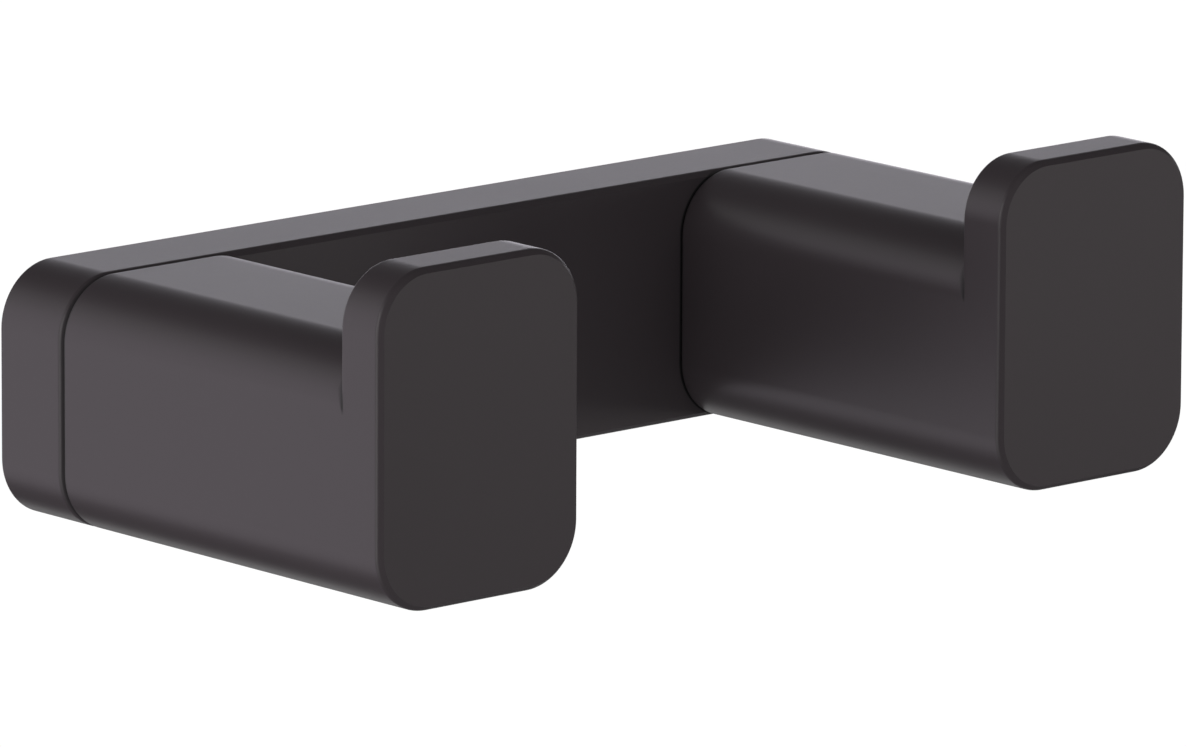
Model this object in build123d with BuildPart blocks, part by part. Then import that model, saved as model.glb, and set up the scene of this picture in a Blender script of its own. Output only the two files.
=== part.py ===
"""Double wall hook: two square hooks with raised lips, screwed side by side to a flat bar.

Millimetres. +X runs along the bar, +Y points into the wall and +Z is up. The origin is the
middle of the bar's back face, in the plane of the wall, so the hooks stand out along -Y.
"""
import os

from build123d import *

os.makedirs("parts", exist_ok=True)

# Bar: a flat casting with rounded ends, open at the back
bar_length = 100.0
bar_height = 24.0
bar_depth = 8.9
bar_corner_r = 5.9
bar_face_wall = 2.9
bar_side_wall = 2.5
bar_web = 2.5
bar_pocket_r = 1.2

# Front rims of the bar and of both hooks: a flat bevel, rounded where it meets the sides
rim_bevel = 0.5
rim_round = 0.6

# Hooks: a square body as high as the bar, and a lip across its front
hook_width = 23.9
hook_reach = 53.5
lip_height = 31.5
lip_thickness = 5.4
lip_corner_r = 5.7
root_break = 0.2

# Hollow that lightens each hook, either side of an upright rib with the screw boss in it
hook_side_wall = 2.8
hook_front_wall = 8.6
hook_rib = 4.2
hook_boss_r = 5.5
core_draft = 1.5
core_corner_r = 0.8

# Pegs cast on each hook's root, which stop it turning on the bar
peg_r = 1.5
peg_length = 2.4
peg_offset = 7.6
peg_clearance = 0.05

# Screws that hold the hooks, put in from behind: M5 with a socket head
screw_r = 2.5
screw_length = 12.0
screw_head_r = 4.25
screw_head_height = 5.0
screw_head_edge = 0.4
screw_key = 4.0
screw_key_depth = 2.6
screw_point = 0.6
screw_hole_clearance = 0.25
screw_head_clearance = 0.3
screw_tip_room = 1.5
thread_clearance = 0.05
boss_wall = 1.2
boss_setback = 0.4

# Wall bracket: a dovetail bar, narrow at the wall, on which the bar hangs
bracket_length = 50.0
bracket_neck = 1.2
bracket_land = 0.6
bracket_end_clearance = 1.0
bracket_face_clearance = 0.8
bracket_foot_clearance = 1.1
ledge_clearance = 0.8

# Holes for two wall screws, in line, sunk for their heads
wall_hole_r = 2.3
wall_hole_spacing = 32.0
wall_head_r = 4.3
wall_head_floor = 2.0

# Grub screws that lock the bar to the bracket from below: M4 with a cone point
grub_r = 2.0
grub_from_end = 5.0
grub_from_wall = 3.1
grub_key = 2.0
grub_key_depth = 1.8
grub_recess = 0.4

# How far a cut runs out past a face, and how closely an edge is looked for by its place
overrun = 1.0
near = 0.01

# Worked out from the sizes above
hook_x = bar_length / 2 - hook_width / 2
bar_base_z = -bar_height / 2
pocket_depth = bar_depth - bar_face_wall
pocket_half_height = bar_height / 2 - bar_side_wall
pocket_half_length = bracket_length / 2 + bracket_end_clearance
bracket_depth = pocket_depth - bracket_face_clearance
bracket_half_front = pocket_half_height - bracket_foot_clearance
flank_back_y = -bracket_neck
flank_front_y = -(bracket_depth - bracket_land)
bracket_half_back = bracket_half_front + flank_front_y - flank_back_y
screw_boss_r = screw_head_r + screw_head_clearance + boss_wall
head_seat_y = -(boss_setback + screw_head_height)
screw_under_head = bar_depth + head_seat_y
hook_tap_depth = screw_length - screw_under_head + screw_tip_room
core_depth = hook_reach - bar_depth - hook_front_wall
grub_x = bracket_length / 2 - grub_from_end
grub_apex_z = -bracket_half_front - flank_front_y - grub_from_wall
grub_length = grub_apex_z - bar_base_z - grub_recess


def facing_front(x, depth):
    """A sketch plane that faces the room, depth in front of the wall, with its middle at x."""
    return Plane(origin=(x, -depth, 0), x_dir=(1, 0, 0), z_dir=(0, -1, 0))


def soften_rim(solid, depth):
    """Bevel the rim of the flat front face at depth, then round the bevel's outer edge."""
    front = solid.faces().filter_by(Axis.Y).sort_by(Axis.Y)[0]
    chamfer(front.outer_wire().edges(), length=rim_bevel)
    bevel_back_y = rim_bevel - depth
    outer = solid.edges().filter_by_position(Axis.Y, bevel_back_y - near, bevel_back_y + near)
    fillet(outer, radius=rim_round)


# Bar: rounded slab, bevelled at the front
with BuildPart() as bar:
    with BuildSketch(facing_front(0, 0)):
        RectangleRounded(bar_length, bar_height, bar_corner_r)
    extrude(amount=bar_depth)
    soften_rim(bar, bar_depth)

    # Middle pocket, whose ceiling slopes like the bracket's upper flank and hangs on it
    ledge_z = bracket_half_back + ledge_clearance
    ceiling_z = bracket_half_front + flank_front_y + pocket_depth
    ledge_y = flank_back_y - ledge_clearance
    with BuildSketch(Plane.YZ.offset(-pocket_half_length)):
        with BuildLine():
            Polyline(
                (overrun, -pocket_half_height),
                (-pocket_depth, -pocket_half_height),
                (-pocket_depth, ceiling_z),
                (ledge_y, ledge_z),
                (overrun, ledge_z),
                close=True,
            )
        make_face()
    extrude(amount=2 * pocket_half_length, mode=Mode.SUBTRACT)
    pocket_floor_corners = (
        bar.edges()
        .filter_by(Axis.Y)
        .filter_by_position(Axis.Z, -pocket_half_height - near, -pocket_half_height + near)
        .filter_by_position(Axis.X, -pocket_half_length - near, pocket_half_length + near)
    )
    fillet(pocket_floor_corners, radius=bar_pocket_r)

    # End pockets, each around the boss of one hook's screw
    end_pocket_outer = bar_length / 2 - bar_side_wall
    end_pocket_inner = pocket_half_length + bar_web
    end_pocket_x = (end_pocket_outer + end_pocket_inner) / 2
    for side in (-1, 1):
        with BuildSketch(facing_front(side * end_pocket_x, 0)):
            RectangleRounded(
                end_pocket_outer - end_pocket_inner, 2 * pocket_half_height, bar_corner_r - bar_side_wall
            )
            with Locations((side * (hook_x - end_pocket_x), 0)):
                Circle(screw_boss_r, mode=Mode.SUBTRACT)
        extrude(amount=pocket_depth, mode=Mode.SUBTRACT)
        with BuildSketch(facing_front(side * hook_x, 0)):
            Circle(screw_boss_r)
        extrude(amount=boss_setback, mode=Mode.SUBTRACT)
        with BuildSketch(facing_front(side * hook_x, 0)):
            Circle(screw_head_r + screw_head_clearance)
        extrude(amount=-head_seat_y, mode=Mode.SUBTRACT)
        with BuildSketch(facing_front(side * hook_x, 0)):
            Circle(screw_r + screw_hole_clearance)
            with Locations((0, peg_offset), (0, -peg_offset)):
                Circle(peg_r + peg_clearance)
        extrude(amount=bar_depth, mode=Mode.SUBTRACT)

    # Tapped holes for the grub screws, up through the bottom wall
    with BuildSketch(Plane.XY.offset(bar_base_z)):
        with Locations((-grub_x, -grub_from_wall), (grub_x, -grub_from_wall)):
            Circle(grub_r + thread_clearance)
    extrude(amount=bar_side_wall, mode=Mode.SUBTRACT)

bar.part.label = "bar"
export_step(bar.part, "parts/bar.step")


# Hooks: body and lip in one casting, cored from the root
lip_z = bar_base_z + lip_height / 2
core_half_width = hook_width / 2 - hook_side_wall
core_half_height = bar_height / 2 - hook_side_wall
for side_name, side in (("left", -1), ("right", 1)):
    x = side * hook_x
    with BuildPart() as hook:
        with BuildSketch(facing_front(x, bar_depth)):
            RectangleRounded(hook_width, bar_height, bar_corner_r)
        extrude(amount=hook_reach - bar_depth)

        # Lip, whose lower corners are the body's own
        with BuildSketch(facing_front(x, hook_reach - lip_thickness)):
            with Locations((0, lip_z)):
                lip_outline = Rectangle(hook_width, lip_height)
            upper = lip_outline.vertices().group_by(Axis.Z)[-1]
            lower = lip_outline.vertices().group_by(Axis.Z)[0]
            fillet(upper, radius=lip_corner_r)
            fillet(lower, radius=bar_corner_r)
        extrude(amount=lip_thickness)
        soften_rim(hook, hook_reach)

        # Sharp root, only just broken
        root = hook.faces().filter_by(Axis.Y).sort_by(Axis.Y)[-1]
        chamfer(root.outer_wire().edges(), length=root_break)

        # Hollow from the root, with the rib and the screw boss standing in it
        with BuildSketch(facing_front(x, bar_depth)):
            RectangleRounded(2 * core_half_width, 2 * core_half_height, core_corner_r)
        extrude(amount=core_depth, taper=core_draft, mode=Mode.SUBTRACT)
        with BuildSketch(facing_front(x, bar_depth)):
            Rectangle(hook_rib, 2 * core_half_height)
        extrude(amount=core_depth, taper=-core_draft)
        with BuildSketch(facing_front(x, bar_depth)):
            Circle(hook_boss_r)
        extrude(amount=core_depth)

        # Tapped hole and the two pegs
        with BuildSketch(facing_front(x, bar_depth)):
            Circle(screw_r + thread_clearance)
        extrude(amount=hook_tap_depth, mode=Mode.SUBTRACT)
        with BuildSketch(facing_front(x, bar_depth)):
            with Locations((0, peg_offset), (0, -peg_offset)):
                Circle(peg_r)
        extrude(amount=-peg_length)

    hook.part.label = f"hook_{side_name}"
    export_step(hook.part, f"parts/hook_{side_name}.step")


# Hook screws: socket heads seated in the bar's bosses
for side_name, side in (("left", -1), ("right", 1)):
    x = side * hook_x
    with BuildPart() as screw:
        with BuildSketch(facing_front(x, boss_setback)):
            Circle(screw_head_r)
        extrude(amount=screw_head_height)
        head_rim = screw.faces().filter_by(Axis.Y).sort_by(Axis.Y)[-1]
        chamfer(head_rim.outer_wire().edges(), length=screw_head_edge)
        with BuildSketch(facing_front(x, -head_seat_y)):
            Circle(screw_r)
        extrude(amount=screw_length)
        tip = screw.faces().filter_by(Axis.Y).sort_by(Axis.Y)[0]
        chamfer(tip.outer_wire().edges(), length=screw_point)
        with BuildSketch(facing_front(x, boss_setback)):
            RegularPolygon(screw_key / 2, 6, major_radius=False)
        extrude(amount=screw_key_depth, mode=Mode.SUBTRACT)

    screw.part.label = f"hook_screw_{side_name}"
    export_step(screw.part, f"parts/hook_screw_{side_name}.step")


# Wall bracket: dovetail section, cut to length and drilled for two wall screws
with BuildPart() as wall_bracket:
    with BuildSketch(Plane.YZ.offset(-bracket_length / 2)):
        with BuildLine():
            Polyline(
                (0, -bracket_half_back),
                (flank_back_y, -bracket_half_back),
                (flank_front_y, -bracket_half_front),
                (-bracket_depth, -bracket_half_front),
                (-bracket_depth, bracket_half_front),
                (flank_front_y, bracket_half_front),
                (flank_back_y, bracket_half_back),
                (0, bracket_half_back),
                close=True,
            )
        make_face()
    extrude(amount=bracket_length)
    for hole_x in (-wall_hole_spacing / 2, wall_hole_spacing / 2):
        with BuildSketch(facing_front(hole_x, 0)):
            Circle(wall_hole_r)
        extrude(amount=bracket_depth, mode=Mode.SUBTRACT)
        with BuildSketch(facing_front(hole_x, wall_head_floor)):
            Circle(wall_head_r)
        extrude(amount=bracket_depth - wall_head_floor, mode=Mode.SUBTRACT)

wall_bracket.part.label = "wall_bracket"
export_step(wall_bracket.part, "parts/wall_bracket.step")


# Grub screws: cone points that bear on the bracket's lower flank
for side_name, side in (("left", -1), ("right", 1)):
    x = side * grub_x
    with BuildPart() as grub:
        with BuildSketch(facing_front(x, grub_from_wall)):
            with BuildLine():
                Polyline(
                    (0, grub_apex_z),
                    (grub_r, grub_apex_z - grub_r),
                    (grub_r, grub_apex_z - grub_length),
                    (0, grub_apex_z - grub_length),
                    close=True,
                )
            make_face()
        revolve(axis=Axis((x, -grub_from_wall, 0), (0, 0, 1)))
        with BuildSketch(Plane.XY.offset(grub_apex_z - grub_length)):
            with Locations((x, -grub_from_wall)):
                RegularPolygon(grub_key / 2, 6, major_radius=False)
        extrude(amount=grub_key_depth, mode=Mode.SUBTRACT)

    grub.part.label = f"grub_screw_{side_name}"
    export_step(grub.part, f"parts/grub_screw_{side_name}.step")
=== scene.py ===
"""Looks for the double wall hook: powder-coated castings, steel screws and an aluminium bracket.

Metres in the row's frame: +X runs along the bar, +Y points into the wall and +Z is up. The pieces are
drawn in millimetres, like the solids that they stand for, and scaled once when they become objects.
"""
import math

import bmesh
import bpy
from mathutils import Matrix, Vector


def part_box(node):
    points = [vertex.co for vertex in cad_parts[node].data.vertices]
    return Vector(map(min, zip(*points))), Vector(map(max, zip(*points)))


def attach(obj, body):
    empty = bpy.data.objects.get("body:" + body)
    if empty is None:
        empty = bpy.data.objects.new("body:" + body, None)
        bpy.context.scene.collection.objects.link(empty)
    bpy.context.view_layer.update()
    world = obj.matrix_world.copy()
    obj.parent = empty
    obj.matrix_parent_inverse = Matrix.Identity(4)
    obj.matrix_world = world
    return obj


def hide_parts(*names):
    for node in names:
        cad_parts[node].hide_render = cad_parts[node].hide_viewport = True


MM = 0.001
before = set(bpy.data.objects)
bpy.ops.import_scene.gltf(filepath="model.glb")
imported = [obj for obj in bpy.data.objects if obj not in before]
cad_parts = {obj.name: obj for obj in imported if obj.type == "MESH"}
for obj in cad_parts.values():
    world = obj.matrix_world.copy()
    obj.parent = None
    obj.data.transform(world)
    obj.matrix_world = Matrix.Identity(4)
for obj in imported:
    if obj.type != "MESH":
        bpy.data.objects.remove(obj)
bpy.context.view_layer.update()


def node_size(node):
    """Lowest and highest corner of a CAD node, in millimetres."""
    low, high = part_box(node)
    return low / MM, high / MM


# Outer sizes in millimetres, from the frame
bar_low, bar_high = node_size("bar")
hook_low, hook_high = node_size("hook_right")
bracket_low, bracket_high = node_size("wall_bracket")
BAR_HALF_LENGTH = bar_high.x
BAR_HALF_HEIGHT = bar_high.z
BAR_DEPTH = -bar_low.y
HOOK_HALF_WIDTH = (hook_high.x - hook_low.x) / 2
HOOK_X = (hook_high.x + hook_low.x) / 2
HOOK_REACH = -hook_low.y
LIP_TOP = hook_high.z
BRACKET_HALF_LENGTH = bracket_high.x
BRACKET_HALF_HEIGHT = bracket_high.z
BRACKET_DEPTH = -bracket_low.y

# Corners and front rims of the bar and the hooks, as in the solids
CORNER = 5.9
LIP_CORNER = 5.7
LIP_THICKNESS = 5.4
RIM_BEVEL = 0.5
RIM_ROUND = 0.6
RIM_ANGLE = math.radians(45)

# Rounding of the hooks' root and of the lips' back edge, larger than in the solids to catch the light
EDGE_ROUND = 0.4

# Hollow that lightens each hook, with the rib and the screw boss in it, and the pegs on its root
HOLLOW_WALL = 2.8
HOLLOW_DEPTH = 36.0
HOLLOW_DRAFT = math.tan(math.radians(1.5))
HOLLOW_CORNER = 0.8
RIB = 4.2
BOSS_R = 5.5
TAP_R = 2.55
TAP_DEPTH = 10.0
PEG_R = 1.5
PEG_OFFSET = 7.6
PEG_LENGTH = 2.4

# Open back of the bar
POCKET_DEPTH = 6.0
SIDE_WALL = 2.5
POCKET_HALF_LENGTH = 26.0
POCKET_CORNER = 1.2
LEDGE_Z = 5.8
LEDGE_DEPTH = 2.0
CEILING_Z = 9.8
WEB = 2.5
SCREW_BOSS_R = 5.75
BOSS_SETBACK = 0.4
HEAD_SEAT_R = 4.55
HEAD_SEAT_DEPTH = 5.4
SHANK_HOLE_R = 2.75
PEG_HOLE_R = 1.55
GRUB_HOLE_R = 2.05
GRUB_X = 20.0
GRUB_FROM_WALL = 3.1

# Wall bracket: half the width of its foot, and the steps and edges of its dovetail
BRACKET_FOOT = 5.0
BRACKET_STEP = 1.2
BRACKET_LIP = 0.6
BRACKET_EDGE = 0.12
WALL_HOLE_X = 16.0
WALL_HOLE_R = 2.3
WALL_HEAD_R = 4.3
WALL_HEAD_SEAT = 2.0

# Hook screws: socket heads with a knurled rim, and a rounded neck under the head
HOOK_SCREW_R = 2.5
HOOK_SCREW_LENGTH = 12.0
HOOK_PITCH = 0.8
HEAD_R = 4.25
HEAD_HEIGHT = 5.0
HEAD_EDGE = 0.4
HEAD_EDGE_BEND = 0.3 * HEAD_EDGE
HEAD_BREAK = 0.15
KNURL_RISE = 0.15
KNURL_END = 0.6
NECK_ROUND = 0.25
NECK_BEND = 0.08
PLAIN_SHANK = 0.9
POINT = 0.6
HOOK_KEY = 4.0
HOOK_KEY_DEPTH = 2.6

# Grub screws
GRUB_R = 2.0
GRUB_LENGTH = 4.7
GRUB_PITCH = 0.7
GRUB_EDGE = 0.3
GRUB_TIP = 0.1
GRUB_KEY = 2.0
GRUB_KEY_DEPTH = 1.8

# Key sockets: the chamfer at the mouth, and the drilled point at the bottom, a little inside the flats
SOCKET_CHAMFER = 0.15
SOCKET_POINT = math.radians(30)
SOCKET_POINT_SHARE = 0.96

# Threads: profile rows in a pitch, the flat share of crest and root, and the depth as a share of the pitch
THREAD_ROWS = 8
THREAD_FLAT = 0.12
THREAD_SHARE = 0.6

# How finely curves are divided
CORNER_STEPS = 20
RIM_STEPS = 6
EDGE_STEPS = 6
ARCH_STEPS = 16
HOLE_SEGMENTS = 64
BOSS_SEGMENTS = 96

# How far a cut runs out past a face, how near points are when they are merged, and which bends stay sharp
OVERRUN = 1.0
WELD = 1e-5
SEAM = 0.001
SHARP_ANGLE = 25
SCREW_SHARP_ANGLE = 15


# Mesh building
def arc(cx, cz, radius, start, end):
    """Points of an arc in the XZ plane, from start to end degrees, both ends included."""
    angles = [math.radians(start + (end - start) * step / CORNER_STEPS) for step in range(CORNER_STEPS + 1)]
    return [(cx + radius * math.cos(angle), cz + radius * math.sin(angle)) for angle in angles]


def rounded(half_x, half_z, radius, inset=0.0, middle_x=0.0):
    """Outline of a rectangle with rounded corners, pulled in by inset."""
    left, right = middle_x - half_x + radius, middle_x + half_x - radius
    low, high, corner = radius - half_z, half_z - radius, radius - inset
    return (
        arc(right, low, corner, 0, -90)
        + arc(left, low, corner, -90, -180)
        + arc(left, high, corner, 180, 90)
        + arc(right, high, corner, 90, 0)
    )


def rim(front):
    """(inset, y) pairs from a side wall, over the rounding and the flat bevel, to the face at y = front."""
    start = front + RIM_BEVEL + RIM_ROUND * math.tan(RIM_ANGLE / 2)
    turns = [RIM_ANGLE * step / RIM_STEPS for step in range(RIM_STEPS + 1)]
    curve = [(RIM_ROUND * (1 - math.cos(turn)), start - RIM_ROUND * math.sin(turn)) for turn in turns]
    return curve + [(RIM_BEVEL, front)]


def ring(bm, outline, y):
    """Points of an outline, added to the mesh at this y."""
    return [bm.verts.new((x, y, z)) for x, z in outline]


def bridge(bm, near, far, closed=True):
    """A band of quads between two rings, or two open rows, with as many points."""
    for index in range(0 if closed else 1, len(near)):
        bm.faces.new((near[index - 1], near[index], far[index], far[index - 1]))


def loft(sections):
    """Closed solid through (outline, y) sections, each with as many points."""
    bm = bmesh.new()
    rings = [ring(bm, outline, y) for outline, y in sections]
    for near, far in zip(rings, rings[1:]):
        bridge(bm, near, far)
    bm.faces.new(rings[0])
    bm.faces.new(rings[-1])
    return bm


def cylinder(start, end, radius, segments=HOLE_SEGMENTS):
    """Solid cylinder between two points."""
    bm = bmesh.new()
    start, end = Vector(start), Vector(end)
    along = end - start
    turn = Vector((0, 0, 1)).rotation_difference(along).to_matrix().to_4x4()
    bmesh.ops.create_cone(
        bm, cap_ends=True, segments=segments, radius1=radius, radius2=radius, depth=along.length,
        matrix=Matrix.Translation((start + end) / 2) @ turn,
    )
    return bm


def add_object(name, data):
    """A new object in the scene."""
    obj = bpy.data.objects.new(name, data)
    bpy.context.scene.collection.objects.link(obj)
    return obj


def to_object(bm, name):
    """A scene object from a bmesh in millimetres, its faces turned outwards."""
    bmesh.ops.remove_doubles(bm, verts=bm.verts, dist=WELD)
    bmesh.ops.recalc_face_normals(bm, faces=bm.faces)
    bmesh.ops.scale(bm, vec=(MM, MM, MM), verts=bm.verts)
    mesh = bpy.data.meshes.new(name)
    bm.to_mesh(mesh)
    bm.free()
    return add_object(name, mesh)


def bake_modifiers(obj):
    """Turns the evaluated object into its own plain mesh."""
    depsgraph = bpy.context.evaluated_depsgraph_get()
    mesh = bpy.data.meshes.new_from_object(obj.evaluated_get(depsgraph))
    obj.modifiers.clear()
    old, obj.data = obj.data, mesh
    bpy.data.meshes.remove(old)
    mesh.name = obj.name


def combine(obj, tool, operation="DIFFERENCE"):
    """Cuts the tool, another object, from obj or adds it, and removes the tool."""
    change = obj.modifiers.new(tool.name, "BOOLEAN")
    change.operation = operation
    change.solver = "EXACT"
    change.object = tool
    bake_modifiers(obj)
    bpy.data.meshes.remove(tool.data)


def drill(obj, start, end, radius, segments=HOLE_SEGMENTS):
    """Cuts a round hole between two points."""
    combine(obj, to_object(cylinder(start, end, radius, segments), "drill"))


def smooth(obj, angle=SHARP_ANGLE):
    """Smooth curves and flat faces: sharp where faces meet at more than the angle in degrees."""
    obj.data.shade_smooth()
    obj.data.set_sharp_from_angle(angle=math.radians(angle))
    weighted = obj.modifiers.new("normals", "WEIGHTED_NORMAL")
    weighted.mode = "FACE_AREA"
    weighted.weight = 100
    weighted.keep_sharp = True
    bake_modifiers(obj)


# Bar
def bar_section(inset):
    """Outline of the bar, pulled in by inset."""
    return rounded(BAR_HALF_LENGTH, BAR_HALF_HEIGHT, CORNER, inset)


def middle_pocket(top):
    """Outline of the middle pocket: rounded below, square above."""
    floor = SIDE_WALL - BAR_HALF_HEIGHT + POCKET_CORNER
    inner = POCKET_HALF_LENGTH - POCKET_CORNER
    return (
        arc(inner, floor, POCKET_CORNER, 0, -90)
        + arc(-inner, floor, POCKET_CORNER, -90, -180)
        + [(-POCKET_HALF_LENGTH, top), (POCKET_HALF_LENGTH, top)]
    )


def end_pocket(side):
    """The hollow at one end of the bar, with the screw boss left standing in it."""
    near, far = POCKET_HALF_LENGTH + WEB, BAR_HALF_LENGTH - SIDE_WALL
    middle, half_height = side * (near + far) / 2, BAR_HALF_HEIGHT - SIDE_WALL
    outline = rounded((far - near) / 2, half_height, CORNER - SIDE_WALL, middle_x=middle)
    pocket = to_object(loft([(outline, OVERRUN), (outline, -POCKET_DEPTH)]), "end_pocket")
    x = side * HOOK_X
    drill(pocket, (x, -BOSS_SETBACK, 0), (x, -POCKET_DEPTH - OVERRUN, 0), SCREW_BOSS_R, BOSS_SEGMENTS)
    return pocket


def make_bar():
    """The bar: a slab with a bevelled front, hollowed from behind, and drilled for hooks and grub screws."""
    sections = [(bar_section(0), 0)] + [(bar_section(inset), y) for inset, y in rim(-BAR_DEPTH)]
    casting = to_object(loft(sections), "bar_casting")
    pocket = [
        (middle_pocket(LEDGE_Z), OVERRUN),
        (middle_pocket(LEDGE_Z), -LEDGE_DEPTH),
        (middle_pocket(CEILING_Z), -POCKET_DEPTH),
    ]
    combine(casting, to_object(loft(pocket), "middle_pocket"))
    through = -BAR_DEPTH - OVERRUN
    below, inside = -BAR_HALF_HEIGHT - OVERRUN, SIDE_WALL - BAR_HALF_HEIGHT + OVERRUN
    for side in (-1, 1):
        x = side * HOOK_X
        combine(casting, end_pocket(side))
        drill(casting, (x, OVERRUN, 0), (x, -HEAD_SEAT_DEPTH, 0), HEAD_SEAT_R, BOSS_SEGMENTS)
        drill(casting, (x, OVERRUN, 0), (x, through, 0), SHANK_HOLE_R)
        for z in (-PEG_OFFSET, PEG_OFFSET):
            drill(casting, (x, OVERRUN, z), (x, through, z), PEG_HOLE_R)
        grub_x = side * GRUB_X
        drill(casting, (grub_x, -GRUB_FROM_WALL, below), (grub_x, -GRUB_FROM_WALL, inside), GRUB_HOLE_R)
    smooth(casting)
    return casting


# Hooks
def edge():
    """(inset, depth) pairs over a rounded edge, from the side wall to the face behind it."""
    turns = [math.radians(90 * step / EDGE_STEPS) for step in range(EDGE_STEPS + 1)]
    return [(EDGE_ROUND * (1 - math.cos(turn)), EDGE_ROUND * (1 - math.sin(turn))) for turn in turns]


def arch_angles():
    """Angles along the body's upper corners: where the rows of the lip's edge meet it, then evenly."""
    met = [math.acos(1 - inset / CORNER) for inset, _ in edge()]
    rest = [met[-1] + (math.pi / 2 - met[-1]) * step / ARCH_STEPS for step in range(1, ARCH_STEPS + 1)]
    return met + rest


def under(inset):
    """Lower part of a hook's outline, from the right side round to the left, shared by body and lip."""
    side, centre, radius = HOOK_HALF_WIDTH - inset, HOOK_HALF_WIDTH - CORNER, CORNER - inset
    high = BAR_HALF_HEIGHT - CORNER
    corners = arc(centre, -high, radius, 0, -90) + arc(-centre, -high, radius, -90, -180)
    return [(side, high)] + corners + [(-side, high)]


def over_body(inset):
    """Upper part of the body's outline, without its two lowest points, which the lower part has."""
    centre, radius, high = HOOK_HALF_WIDTH - CORNER, CORNER - inset, BAR_HALF_HEIGHT - CORNER
    angles = arch_angles()[1:]
    half = [(centre + radius * math.cos(angle), high + radius * math.sin(angle)) for angle in angles]
    return [(-x, z) for x, z in half] + half[::-1]


def over_lip(inset):
    """Upper part of the lip's outline."""
    centre, radius, high = HOOK_HALF_WIDTH - LIP_CORNER, LIP_CORNER - inset, LIP_TOP - LIP_CORNER
    return arc(-centre, high, radius, 180, 90) + arc(centre, high, radius, 90, 0)


def hollow():
    """The space inside a hook, open at its root, with the rib and the screw boss left standing in it."""
    half_x, half_z = HOOK_HALF_WIDTH - HOLLOW_WALL, BAR_HALF_HEIGHT - HOLLOW_WALL
    space, rib = [], []
    for depth in (-OVERRUN, HOLLOW_DEPTH):
        draft = depth * HOLLOW_DRAFT
        space.append((rounded(half_x - draft, half_z - draft, HOLLOW_CORNER), -BAR_DEPTH - depth))
    for depth in (-2 * OVERRUN, HOLLOW_DEPTH + OVERRUN):
        half, top = RIB / 2 + depth * HOLLOW_DRAFT, BAR_HALF_HEIGHT
        rib.append(([(half, -top), (-half, -top), (-half, top), (half, top)], -BAR_DEPTH - depth))
    made = to_object(loft(space), "hollow")
    combine(made, to_object(loft(rib), "rib"))
    near, far = 2 * OVERRUN - BAR_DEPTH, -BAR_DEPTH - HOLLOW_DEPTH - OVERRUN
    drill(made, (0, near, 0), (0, far, 0), BOSS_R, BOSS_SEGMENTS)
    return made


def body_skin(bm, lip_back):
    """The body, from its rounded root to its end, which follows the lip's rounded back edge. Gives the end's
    two parts: the one that it shares with the lip, and the arch over it."""
    rows = edge()
    rings = [ring(bm, under(inset) + over_body(inset), -BAR_DEPTH - depth) for inset, depth in rows[::-1]]
    end = ring(bm, under(0) + over_body(0), lip_back)
    first_above = len(under(0))
    for vertex in end[:first_above]:
        vertex.co.y = lip_back - EDGE_ROUND
    for index, (_, depth) in enumerate(rows[1:]):
        end[first_above + index].co.y = end[-1 - index].co.y = lip_back - depth
    rings.append(end)
    bm.faces.new(rings[0])
    for near, far in zip(rings, rings[1:]):
        bridge(bm, near, far)
    return end[:first_above], end[first_above:]


def lip_back_skin(bm, lip_back, shared, arch):
    """The lip's rounded back edge and its back face, which end on the body. Gives the top of its side."""
    left = [shared[-1]] + arch[:EDGE_STEPS]
    right = [shared[0]] + arch[::-1][:EDGE_STEPS]
    brows = [ring(bm, over_lip(inset), lip_back - depth) for inset, depth in edge()]
    rows = [[start, *brow, end] for start, brow, end in zip(left, brows, right)]
    for near, far in zip(rows, rows[1:]):
        bridge(bm, near, far, closed=False)
    bm.faces.new(arch[EDGE_STEPS - 1 : len(arch) - EDGE_STEPS + 1] + brows[-1][::-1])
    return brows[0]


def make_hook():
    """One hook, centred on x = 0: body and lip in one skin, hollowed from its root, with two pegs on it."""
    bm = bmesh.new()
    lip_back = LIP_THICKNESS - HOOK_REACH
    shared, arch = body_skin(bm, lip_back)
    last = shared + lip_back_skin(bm, lip_back, shared, arch)
    for inset, y in rim(-HOOK_REACH):
        following = ring(bm, under(inset) + over_lip(inset), y)
        bridge(bm, last, following)
        last = following
    bm.faces.new(last)
    hook = to_object(bm, "hook")

    combine(hook, hollow())
    drill(hook, (0, -BAR_DEPTH + OVERRUN, 0), (0, -BAR_DEPTH - TAP_DEPTH, 0), TAP_R)
    for z in (-PEG_OFFSET, PEG_OFFSET):
        peg = cylinder((0, PEG_LENGTH - BAR_DEPTH, z), (0, -BAR_DEPTH - OVERRUN, z), PEG_R)
        combine(hook, to_object(peg, "peg"), "UNION")
    smooth(hook)
    return hook


def place_hook(pattern, side, name):
    """A copy of the one hook, its mesh moved to its end of the bar."""
    mesh = pattern.data.copy()
    mesh.transform(Matrix.Translation((side * HOOK_X * MM, 0, 0)))
    return add_object(name, mesh)


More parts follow.
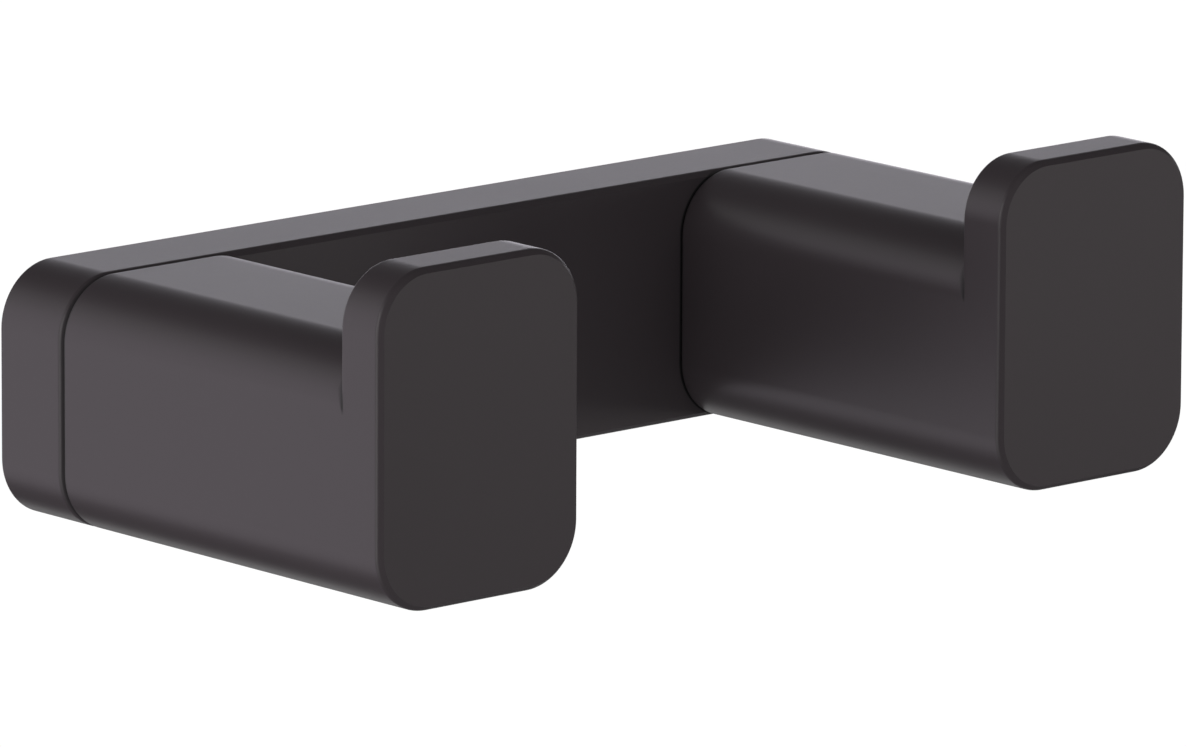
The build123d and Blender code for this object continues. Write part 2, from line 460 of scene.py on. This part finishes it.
# Bracket
def make_bracket():
    """The wall bracket: an extruded dovetail strip with broken edges, drilled for two wall screws."""
    half = [
        (0, BRACKET_FOOT),
        (-BRACKET_STEP, BRACKET_FOOT),
        (BRACKET_LIP - BRACKET_DEPTH, BRACKET_HALF_HEIGHT),
        (-BRACKET_DEPTH, BRACKET_HALF_HEIGHT),
    ]
    outline = [(y, -z) for y, z in half] + half[::-1]
    bm = bmesh.new()
    cuts = (-BRACKET_HALF_LENGTH, BRACKET_HALF_LENGTH)
    ends = [[bm.verts.new((x, y, z)) for y, z in outline] for x in cuts]
    bridge(bm, *ends)
    for end in ends:
        bm.faces.new(end)
    bmesh.ops.bevel(bm, geom=bm.edges[:], offset=BRACKET_EDGE, segments=2, profile=0.5, affect="EDGES")
    bracket = to_object(bm, "wall_bracket_strip")
    front = -BRACKET_DEPTH - OVERRUN
    for x in (-WALL_HOLE_X, WALL_HOLE_X):
        drill(bracket, (x, OVERRUN, 0), (x, front, 0), WALL_HOLE_R)
        drill(bracket, (x, -WALL_HEAD_SEAT, 0), (x, front, 0), WALL_HEAD_R, BOSS_SEGMENTS)
    smooth(bracket)
    return bracket


# Nodes written as Python
class Wire:
    """A socket of a shader or geometry tree. Arithmetic on it adds Math nodes."""

    def __init__(self, socket):
        self.socket = socket

    @classmethod
    def node(cls, tree, kind, values=None, **settings):
        """Adds a node: its settings first, then the values or links of its sockets."""
        made = tree.nodes.new(kind)
        for name, value in settings.items():
            setattr(made, name, value)
        for name, value in (values or {}).items():
            if isinstance(value, cls):
                tree.links.new(value.socket, made.inputs[name])
            else:
                made.inputs[name].default_value = value
        return cls(next((socket for socket in made.outputs if socket.enabled), None))

    def output(self, name):
        """Another output of the same node."""
        return Wire(self.socket.node.outputs[name])

    def combined(self, operation, *values):
        """A Math node on these values, in this wire's tree."""
        return Wire.node(self.socket.id_data, "ShaderNodeMath", dict(enumerate(values)), operation=operation)

    def math(self, operation, *others):
        """A Math node on this wire, followed by other values."""
        return self.combined(operation, self, *others)

    def absolute(self):
        return self.math("ABSOLUTE")

    def at_least(self, low):
        return self.math("MAXIMUM", low)

    def at_most(self, high):
        return self.math("MINIMUM", high)

    def __add__(self, other):
        return self.combined("ADD", self, other)

    def __sub__(self, other):
        return self.combined("SUBTRACT", self, other)

    def __rsub__(self, other):
        return self.combined("SUBTRACT", other, self)

    def __mul__(self, other):
        return self.combined("MULTIPLY", self, other)

    def __truediv__(self, other):
        return self.combined("DIVIDE", self, other)

    def __rtruediv__(self, other):
        return self.combined("DIVIDE", other, self)

    def __mod__(self, other):
        return self.combined("MODULO", self, other)

    def __gt__(self, other):
        return self.combined("GREATER_THAN", self, other)

    __radd__ = __add__
    __rmul__ = __mul__


# Screws: profile rows, given as distance along the screw and radius
def row(along, radius, hexagon=0, knurl=0, thread=0):
    """A point of a profile, and how far it is made six-sided, knurled or threaded."""
    return along, radius, hexagon, knurl, thread


def threaded(start, end, radius, pitch):
    """Profile rows of a thread from start to end, fading in and out over its first and last half turn."""
    count = round((end - start) / pitch * THREAD_ROWS)
    places = [start + (end - start) * step / count for step in range(count + 1)]
    half_turn = pitch / 2
    return [
        row(along, radius, thread=min(1, (along - start) / half_turn, (end - along) / half_turn))
        for along in places
    ]


def hexagon_socket(key, depth):
    """Profile rows from the drilled point at the socket's bottom to the chamfer at its mouth."""
    flat, corner = key / 2, key / math.sqrt(3)
    return [
        row(depth + flat * math.tan(SOCKET_POINT), 0),
        row(depth, flat * SOCKET_POINT_SHARE, hexagon=1),
        row(depth, flat, hexagon=1),
        row(SOCKET_CHAMFER, flat, hexagon=1),
        row(0, corner + SOCKET_CHAMFER),
    ]


def hook_screw_rows():
    """Profile of a socket head screw, from its socket over the knurled head and down the shank."""
    head, end = HEAD_HEIGHT, HEAD_HEIGHT + HOOK_SCREW_LENGTH
    return [
        *hexagon_socket(HOOK_KEY, HOOK_KEY_DEPTH),
        row(0, HEAD_R - HEAD_EDGE),
        row(HEAD_EDGE_BEND, HEAD_R - HEAD_EDGE_BEND),
        row(HEAD_EDGE, HEAD_R),
        row(HEAD_EDGE + KNURL_RISE, HEAD_R, knurl=1),
        row(head - KNURL_END - KNURL_RISE, HEAD_R, knurl=1),
        row(head - KNURL_END, HEAD_R),
        row(head - HEAD_BREAK, HEAD_R),
        row(head, HEAD_R - HEAD_BREAK),
        row(head, HOOK_SCREW_R + NECK_ROUND),
        row(head + NECK_BEND, HOOK_SCREW_R + NECK_BEND),
        row(head + NECK_ROUND, HOOK_SCREW_R),
        *threaded(head + PLAIN_SHANK, end - POINT, HOOK_SCREW_R, HOOK_PITCH),
        row(end, HOOK_SCREW_R - POINT),
        row(end, 0),
    ]


def grub_screw_rows():
    """Profile of a grub screw, from its socket over the threaded body to the cone point."""
    end = GRUB_LENGTH
    return [
        *hexagon_socket(GRUB_KEY, GRUB_KEY_DEPTH),
        row(0, GRUB_R - GRUB_EDGE),
        *threaded(GRUB_EDGE, end - GRUB_R, GRUB_R, GRUB_PITCH),
        row(end - GRUB_TIP, GRUB_TIP),
        row(end, 0),
    ]


# What the turning tree is given for each kind of screw
HOOK_SCREW_TURNING = {
    "Columns": 144, "Pitch": HOOK_PITCH, "Thread Depth": HOOK_PITCH * THREAD_SHARE,
    "Knurls": 36, "Knurl Depth": 0.16,
}
GRUB_SCREW_TURNING = {
    "Columns": 96, "Pitch": GRUB_PITCH, "Thread Depth": GRUB_PITCH * THREAD_SHARE,
    "Knurls": 1, "Knurl Depth": 0.0,
}


def turning_tree():
    """Turns a profile: a grid whose columns go round the Z axis and whose rows are the profile's points."""
    tree = bpy.data.node_groups.new("turned_screw", "GeometryNodeTree")
    tree.is_modifier = True
    for name, kind in (
        ("Profile", "Geometry"), ("Columns", "Int"), ("Pitch", "Float"), ("Thread Depth", "Float"),
        ("Knurls", "Int"), ("Knurl Depth", "Float"), ("Finish", "Material"),
    ):
        tree.interface.new_socket(name, in_out="INPUT", socket_type="NodeSocket" + kind)
    tree.interface.new_socket("Screw", in_out="OUTPUT", socket_type="NodeSocketGeometry")
    profile = Wire.node(tree, "NodeGroupInput")
    rows = Wire.node(tree, "GeometryNodeAttributeDomainSize", {"Geometry": profile}, component="MESH")
    columns = profile.output("Columns") + 1
    cells = {"Size X": 1, "Size Y": 1, "Vertices X": columns, "Vertices Y": rows}
    grid = Wire.node(tree, "GeometryNodeMeshGrid", cells)
    place = Wire.node(tree, "GeometryNodeInputPosition")
    cell = Wire.node(tree, "ShaderNodeSeparateXYZ", {0: place})
    turn = cell + 0.5
    nearest_row = (cell.output("Y") + 0.5) * (rows - 1) + 0.5

    def sampled(value, kind):
        """The profile's value at this row of the grid."""
        looked_up = {"Geometry": profile, "Value": value, "Index": nearest_row}
        return Wire.node(tree, "GeometryNodeSampleIndex", looked_up, data_type=kind)

    def amount(name):
        """How far this row of the grid is six-sided, knurled or threaded."""
        held = Wire.node(tree, "GeometryNodeInputNamedAttribute", {"Name": name}, data_type="FLOAT")
        return sampled(held, "FLOAT")

    point = Wire.node(tree, "ShaderNodeSeparateXYZ", {0: sampled(place, "FLOAT_VECTOR")})
    radius, along = point, point.output("Z")
    angle = turn * math.tau
    sixth = math.tau / 6
    off_flat = (angle % sixth) - sixth / 2
    corner = 1 / off_flat.math("COSINE") - 1
    ridge = (angle * profile.output("Knurls")).math("COSINE") * 0.5 + 0.5
    from_crest = ((along / profile.output("Pitch") - turn).math("FRACT") - 0.5).absolute() * 2
    cut = ((from_crest - THREAD_FLAT) / (1 - 2 * THREAD_FLAT)).at_least(0).at_most(1)
    shaped = (
        radius * (1 + corner * amount("hexagon"))
        - ridge * profile.output("Knurl Depth") * amount("knurl")
        - cut * profile.output("Thread Depth") * amount("thread")
    )
    round_axis = {"X": shaped * angle.math("COSINE"), "Y": shaped * angle.math("SINE"), "Z": along}
    target = Wire.node(tree, "ShaderNodeCombineXYZ", round_axis)
    turned = Wire.node(tree, "GeometryNodeSetPosition", {"Geometry": grid, "Position": target})
    closed = Wire.node(tree, "GeometryNodeMergeByDistance", {"Geometry": turned, "Distance": SEAM})
    real = Wire.node(tree, "GeometryNodeRealizeInstances", {"Geometry": closed})
    finished = {"Geometry": real, "Material": profile.output("Finish")}
    Wire.node(tree, "NodeGroupOutput", {"Screw": Wire.node(tree, "GeometryNodeSetMaterial", finished)})
    return tree


def make_screw(node, rows, place, turn, tree, sizes):
    """A node's screw: turned by the tree from its profile rows, then turned about X and put in its place."""
    name = node + "_turned"
    mesh = bpy.data.meshes.new(name)
    mesh.from_pydata([(radius, 0, along) for along, radius, *_ in rows], [], [])
    for column, label in enumerate(("hexagon", "knurl", "thread"), 2):
        held = mesh.attributes.new(label, "FLOAT", "POINT")
        held.data.foreach_set("value", [values[column] for values in rows])
    obj = add_object(name, mesh)
    turning = obj.modifiers.new("turned", "NODES")
    turning.node_group = tree
    inputs = {**sizes, "Finish": turned_steel(node + "_steel", place, turn)}
    for socket in tree.interface.items_tree:
        if socket.name in inputs:
            turning[socket.identifier] = inputs[socket.name]
    bake_modifiers(obj)
    bm = bmesh.new()
    bm.from_mesh(obj.data)
    seat = Matrix.Scale(MM, 4) @ Matrix.Translation(place) @ Matrix.Rotation(turn, 4, "X")
    bmesh.ops.transform(bm, matrix=seat, verts=bm.verts)
    bmesh.ops.recalc_face_normals(bm, faces=bm.faces)
    bm.to_mesh(obj.data)
    bm.free()
    smooth(obj, SCREW_SHARP_ANGLE)
    return obj


# Powder coat: shades, sizes of its lumps in millimetres, relief in microns, and how much each part dulls it
COAT_DARK = (0.0572, 0.0456, 0.0515)
COAT_LIGHT = (0.0620, 0.0494, 0.0558)
COAT_IOR = 1.5
COAT_ROUGHNESS = 0.375
PEEL = 1.3
GRAIN = 0.22
DRIFT = 14.0
PEEL_SHARE = 0.75
DRIFT_SHARE = 0.7
COAT_RELIEF = 5.0
DRIFT_DULLS = 0.02
GRAIN_DULLS = 0.03
PAINTED_SHADE_DULLS = 0.4

# Painted shade in the coat, nearly black and duller, standing in for the shadow in the joint at the bar and
# in the crease behind the lip: how far each runs along the hook and away from its outline, in millimetres
PAINTED_SHADE_COLOUR = (0.008, 0.007, 0.008)
PAINTED_SHADE_CURVE = 0.6
JOINT_SHADE_REACH = 0.42
JOINT_SHADE_SPREAD = 0.1
CREASE_SHADE_REACH = 1.0
CREASE_SHADE_SPREAD = 0.35
CREASE_SHADE_START_Z = 6.0
CREASE_SHADE_RISE = 2.2
CREASE_SHADE_ONSET = 0.25
CREASE_SHADE_STRENGTH = 0.9
CREASE_SHADE_LEAST = 0.01

# Turned steel: rings a ninth of a millimetre apart, round the axis and along it
STEEL_DARK = (0.50, 0.50, 0.51)
STEEL_LIGHT = (0.70, 0.70, 0.71)
STEEL_ROUGHNESS = 0.18
RING_SPACING = 1 / 9
RING_SLANT = 0.8
STAIN = 1.6
STAIN_SHARE = 0.6
RINGS_DULL = 0.16
STAIN_DULLS = 0.06
STEEL_RELIEF = 4.0

# Extruded aluminium: die lines and saw marks, each drawn out along one axis
ALUMINIUM_DARK = (0.60, 0.61, 0.62)
ALUMINIUM_LIGHT = (0.78, 0.79, 0.80)
ALUMINIUM_ROUGHNESS = 0.26
DIE_LINES = 0.16
DIE_STRETCH = (0.012, 1, 1)
SAW_MARKS = 0.3
SAW_STRETCH = (1, 1, 0.03)
SAWN_DEPTH = 0.05
HAZE = 3.0
HAZE_SHARE = 0.5
MARKS_DULL = 0.14
HAZE_DULLS = 0.06
ALUMINIUM_RELIEF = 6.0


# Finishes
def new_finish(name):
    """An empty material and its tree."""
    material = bpy.data.materials.new(name)
    material.use_nodes = True
    material.node_tree.nodes.clear()
    return material, material.node_tree


def place_on_object(tree):
    """The place on the piece that is shaded, in metres."""
    return Wire.node(tree, "ShaderNodeTexCoord").output("Object")


def millimetres(tree, place):
    """The three coordinates of a place, in millimetres."""
    split = Wire.node(tree, "ShaderNodeSeparateXYZ", {0: place})
    return [split.output(axis) / MM for axis in "XYZ"]


def noise(tree, place, grain, detail=2.0):
    """Soft noise from 0 to 1 with lumps of the given size in millimetres."""
    values = {"Vector": place, "Scale": 1 / (grain * MM), "Detail": detail}
    return Wire.node(tree, "ShaderNodeTexNoise", values)


def blend(first, second, share):
    """Two values mixed, with this share of the first."""
    return first * share + second * (1 - share)


def shades(tree, factor, dark, light):
    """A colour between two, each of them a plain colour or a socket."""
    dark, light = (shade if isinstance(shade, Wire) else (*shade, 1) for shade in (dark, light))
    return Wire.node(tree, "ShaderNodeMix", {0: factor, 6: dark, 7: light}, data_type="RGBA").output(2)


def surface(tree, values):
    """The shader and the output of a finish."""
    shader = Wire.node(tree, "ShaderNodeBsdfPrincipled", values)
    Wire.node(tree, "ShaderNodeOutputMaterial", {"Surface": shader})


def relief(tree, height, microns):
    """A bump of the given full height."""
    return Wire.node(tree, "ShaderNodeBump", {"Strength": 1.0, "Distance": microns * 1e-6, "Height": height})


def fade(distance, reach):
    """1 at no distance or below it, falling to 0 at the reach."""
    return (1 - distance.at_least(0) / reach).at_least(0)


def painted_shade_lines(tree, place):
    """Mask of painted shade for the shadow where a hook meets the bar and behind its lip: 1 where a hook's
    rounded outline meets the bar, and less in the crease between its body and the lip's back. Both fade
    along the hook and away from its outline. The crease widens from where the lip leaves the body."""
    x, y, z = millimetres(tree, place)
    past_x = ((x.absolute() - HOOK_X).absolute() - (HOOK_HALF_WIDTH - CORNER)).at_least(0)
    past_z = (z.absolute() - (BAR_HALF_HEIGHT - CORNER)).at_least(0)
    outside = (past_x * past_x + past_z * past_z).math("SQRT") - CORNER
    # Painted shade in the joint, where the hook's rounded outline meets the bar
    joint = fade((y + BAR_DEPTH).absolute(), JOINT_SHADE_REACH) * fade(outside, JOINT_SHADE_SPREAD)
    # Painted shade in the crease behind the lip, widening upwards from where the lip leaves the body
    behind_lip = y + (HOOK_REACH - LIP_THICKNESS + EDGE_ROUND / 2)
    risen = ((z - CREASE_SHADE_START_Z) / CREASE_SHADE_RISE).at_least(0).at_most(1)
    on_body = fade(behind_lip / (risen + CREASE_SHADE_LEAST), CREASE_SHADE_REACH)
    on_lip = fade(behind_lip * -1, EDGE_ROUND / 2)
    crease = on_body * on_lip * fade(outside, CREASE_SHADE_SPREAD) * (risen / CREASE_SHADE_ONSET).at_most(1)
    return joint.at_least(crease * CREASE_SHADE_STRENGTH)


def powder_coat():
    """Matt dark grey powder coat: faint orange peel, a finer grain, a slow drift of shade and gloss, and
    painted
    shade: nearly black, duller lines for the shadow in the joint at the bar and in the crease behind the
    lip."""
    material, tree = new_finish("powder_coat")
    place = place_on_object(tree)
    peel = noise(tree, place, PEEL, detail=1.0)
    grain = noise(tree, place, GRAIN)
    drift = noise(tree, place, DRIFT)
    # Painted shade: the mask of the dark lines in the joint at the bar and in the crease behind the lip
    lines = painted_shade_lines(tree, place)
    open_coat = shades(tree, blend(drift, grain, DRIFT_SHARE), COAT_DARK, COAT_LIGHT)
    surface(tree, {
        # Painted shade: the coat turns nearly black where shadow falls in the joint and in the crease
        "Base Color": shades(tree, lines.math("POWER", PAINTED_SHADE_CURVE), open_coat, PAINTED_SHADE_COLOUR),
        "Roughness": COAT_ROUGHNESS + drift * DRIFT_DULLS + grain * GRAIN_DULLS + lines * PAINTED_SHADE_DULLS,
        "IOR": COAT_IOR,
        "Normal": relief(tree, blend(peel, grain, PEEL_SHARE), COAT_RELIEF),
    })
    return material


def turned_steel(name, centre, turn):
    """Stainless steel turned on a lathe: fine rings round the screw's own axis."""
    material, tree = new_finish(name)
    place = place_on_object(tree)
    seat = {"Vector": place, "Location": Vector(centre) * MM, "Rotation": (turn, 0, 0)}
    x, y, along = millimetres(tree, Wire.node(tree, "ShaderNodeMapping", seat, vector_type="TEXTURE"))
    from_axis = (x * x + y * y).math("SQRT")
    cut = {"W": (from_axis + along * RING_SLANT) / RING_SPACING, "Detail": 2.0}
    rings = Wire.node(tree, "ShaderNodeTexNoise", cut, noise_dimensions="1D")
    stain = noise(tree, place, STAIN, detail=3.0)
    surface(tree, {
        "Base Color": shades(tree, blend(stain, rings, STAIN_SHARE), STEEL_DARK, STEEL_LIGHT),
        "Roughness": STEEL_ROUGHNESS + rings * RINGS_DULL + stain * STAIN_DULLS,
        "Metallic": 1.0,
        "Normal": relief(tree, rings, STEEL_RELIEF),
    })
    return material


def cut_aluminium():
    """Plain extruded aluminium: die lines along it, and saw marks on its two cut ends."""
    material, tree = new_finish("extruded_aluminium")
    place = place_on_object(tree)
    along, across = (
        Wire.node(tree, "ShaderNodeMapping", {"Vector": place, "Scale": stretch}, vector_type="POINT")
        for stretch in (DIE_STRETCH, SAW_STRETCH)
    )
    lines = noise(tree, along, DIE_LINES, detail=3.0)
    marks = noise(tree, across, SAW_MARKS)
    ends = millimetres(tree, place)[0].absolute() > BRACKET_HALF_LENGTH - SAWN_DEPTH
    height = lines * (1 - ends) + marks * ends
    haze = noise(tree, place, HAZE)
    surface(tree, {
        "Base Color": shades(tree, blend(haze, height, HAZE_SHARE), ALUMINIUM_DARK, ALUMINIUM_LIGHT),
        "Roughness": ALUMINIUM_ROUGHNESS + height * MARKS_DULL + haze * HAZE_DULLS,
        "Metallic": 1.0,
        "Normal": relief(tree, height, ALUMINIUM_RELIEF),
    })
    return material


def put_on(piece, material):
    """Gives a piece its one finish."""
    piece.data.materials.clear()
    piece.data.materials.append(material)


# The object
coat = powder_coat()
bar = make_bar()
pattern = make_hook()
dressed = {
    "bar": bar,
    "hook_left": place_hook(pattern, -1, "hook_left_casting"),
    "hook_right": place_hook(pattern, 1, "hook_right_casting"),
    "wall_bracket": make_bracket(),
}
bpy.data.meshes.remove(pattern.data)
for node in ("bar", "hook_left", "hook_right"):
    put_on(dressed[node], coat)
put_on(dressed["wall_bracket"], cut_aluminium())

# Hook screws point to the front, grub screws up. Each is placed by the middle of its socket's mouth.
TO_FRONT = math.pi / 2
UPWARDS = 0
screw_tree = turning_tree()
for end, side in (("left", -1), ("right", 1)):
    hook_screw, grub_screw = "hook_screw_" + end, "grub_screw_" + end
    back = (side * HOOK_X, node_size(hook_screw)[1].y, 0)
    foot = (side * GRUB_X, -GRUB_FROM_WALL, node_size(grub_screw)[0].z)
    dressed[hook_screw] = make_screw(
        hook_screw, hook_screw_rows(), back, TO_FRONT, screw_tree, HOOK_SCREW_TURNING
    )
    dressed[grub_screw] = make_screw(
        grub_screw, grub_screw_rows(), foot, UPWARDS, screw_tree, GRUB_SCREW_TURNING
    )

for node, piece in dressed.items():
    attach(piece, "root")
    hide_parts(node)


# Studio, in metres: a pale floor far below the hook, a white backdrop all round it, and soft panels of light
FLOOR_Z = -1.7
FLOOR_RADIUS = 1.5
FLOOR_SHADE = (0.8, 0.8, 0.8, 1)
FLOOR_ROUGHNESS = 0.9
BACKDROP_RADIUS = 3.0
BACKDROP_LIGHT = 1.02
ROOM_LIGHT = 0.092
PANEL_DISTANCE = 1.2
PANEL_CENTRE = Vector((0, -0.027, 0.003))
COOL = (0.945, 0.915, 1.0)
ROSY = (0.97, 0.905, 1.0)
WARM = (1.0, 0.955, 0.955)
FRESH = (0.965, 1.0, 0.985)
WHITE = (1.0, 1.0, 1.0)

# Name, azimuth from +X and elevation, width and height as seen from the hook, in degrees, brightness, colour
PANELS = (
    ("left_low", 180, -28, 34, 32, 1.08, FRESH),
    ("left", 180, 10, 34, 44, 2.1, WHITE),
    ("back_left", 128, -7, 40, 54, 1.01, ROSY),
    ("back_left_high", 132, 29, 40, 18, 0.62, WHITE),
    ("back", 90, -5, 40, 28, 0.7, WHITE),
    ("low_back_right", 52, -36, 36, 16, 0.8, WHITE),
    ("back_right", 48, 2, 40, 14, 2.67, COOL),
    ("back_right_high", 48, 16, 40, 14, 0.81, COOL),
    ("front_low", 270, -13, 36, 46, 0.6, FRESH),
    ("front_high", 270, 23, 36, 30, 1.18, FRESH),
    ("front_right", 326, -2, 64, 16, 1.29, WARM),
)


def stage_piece(bm, name, material):
    """A floor or backdrop, which isn't part of the object."""
    mesh = bpy.data.meshes.new(name)
    bm.to_mesh(mesh)
    bm.free()
    obj = add_object(name, mesh)
    obj.data.materials.append(material)
    return obj


def pale_floor():
    """A round pale floor, which lights the hook from below and which the camera doesn't see."""
    material, tree = new_finish("pale_floor")
    surface(tree, {"Base Color": FLOOR_SHADE, "Roughness": FLOOR_ROUGHNESS})
    bm = bmesh.new()
    down = Matrix.Translation((0, 0, FLOOR_Z))
    bmesh.ops.create_circle(bm, cap_ends=True, segments=96, radius=FLOOR_RADIUS, matrix=down)
    floor = stage_piece(bm, "floor", material)
    floor.visible_camera = False


def white_backdrop():
    """An even white all round, for the camera alone. It shows on its inside only."""
    material, tree = new_finish("white_backdrop")
    white = Wire.node(tree, "ShaderNodeEmission", {"Strength": BACKDROP_LIGHT})
    clear = Wire.node(tree, "ShaderNodeBsdfTransparent")
    outside = Wire.node(tree, "ShaderNodeNewGeometry").output("Backfacing")
    shown = Wire.node(tree, "ShaderNodeMixShader", {0: outside, 1: white, 2: clear})
    Wire.node(tree, "ShaderNodeOutputMaterial", {"Surface": shown})
    bm = bmesh.new()
    bmesh.ops.create_uvsphere(bm, u_segments=64, v_segments=32, radius=BACKDROP_RADIUS)
    bmesh.ops.reverse_faces(bm, faces=bm.faces)
    backdrop = stage_piece(bm, "backdrop", material)
    for ray in ("diffuse", "glossy", "transmission", "volume_scatter", "shadow"):
        setattr(backdrop, "visible_" + ray, False)


def soft_panel(name, azimuth, elevation, width, height, brightness, colour):
    """A soft box that faces the hook and that the camera doesn't see."""
    lamp = bpy.data.lights.new(name, "AREA")
    lamp.shape = "RECTANGLE"
    lamp.size = 2 * PANEL_DISTANCE * math.tan(math.radians(width / 2))
    lamp.size_y = 2 * PANEL_DISTANCE * math.tan(math.radians(height / 2))
    lamp.energy = brightness * math.pi * lamp.size * lamp.size_y
    lamp.color = colour
    around, up = math.radians(azimuth), math.radians(elevation)
    out = Vector((math.cos(up) * math.cos(around), math.cos(up) * math.sin(around), math.sin(up)))
    across = Vector((-math.sin(around), math.cos(around), 0))
    facing = Matrix((across, out.cross(across), out)).transposed().to_4x4()
    panel = add_object(name, lamp)
    panel.matrix_world = Matrix.Translation(PANEL_CENTRE + out * PANEL_DISTANCE) @ facing
    panel.visible_camera = False


for panel_values in PANELS:
    soft_panel(*panel_values)
pale_floor()
white_backdrop()
world = bpy.data.worlds.new("studio")
bpy.context.scene.world = world
world.use_nodes = True
room = world.node_tree.nodes["Background"].inputs
room["Color"].default_value = (1, 1, 1, 1)
room["Strength"].default_value = ROOM_LIGHT


# Camera, at the photograph's viewing angle: metres, then degrees, millimetres of sensor and pixels
CAMERA_PLACE = (-0.78766, -0.91239, 0.25412)
AZIMUTH = math.radians(-41.6202)
ELEVATION = math.radians(12.1334)
ROLL = math.radians(0.265)
SENSOR_WIDTH = 36
PHOTO_WIDTH_PIXELS = 1187
FOCAL_PIXELS = 13008.5
level = Vector((math.cos(AZIMUTH), math.sin(AZIMUTH), 0))
away = Vector((math.sin(AZIMUTH), -math.cos(AZIMUTH), 0)) * math.cos(ELEVATION)
backwards = away + Vector((0, 0, math.sin(ELEVATION)))
upright = backwards.cross(level)
right = level * math.cos(ROLL) + upright * math.sin(ROLL)
above = upright * math.cos(ROLL) - level * math.sin(ROLL)
camera = add_object("camera", bpy.data.cameras.new("camera"))
aim = Matrix((right, above, backwards)).transposed().to_4x4()
camera.matrix_world = Matrix.Translation(CAMERA_PLACE) @ aim
camera.data.sensor_width = SENSOR_WIDTH
camera.data.lens = FOCAL_PIXELS / PHOTO_WIDTH_PIXELS * SENSOR_WIDTH
bpy.context.scene.camera = camera
bpy.context.scene.view_settings.view_transform = "Standard"
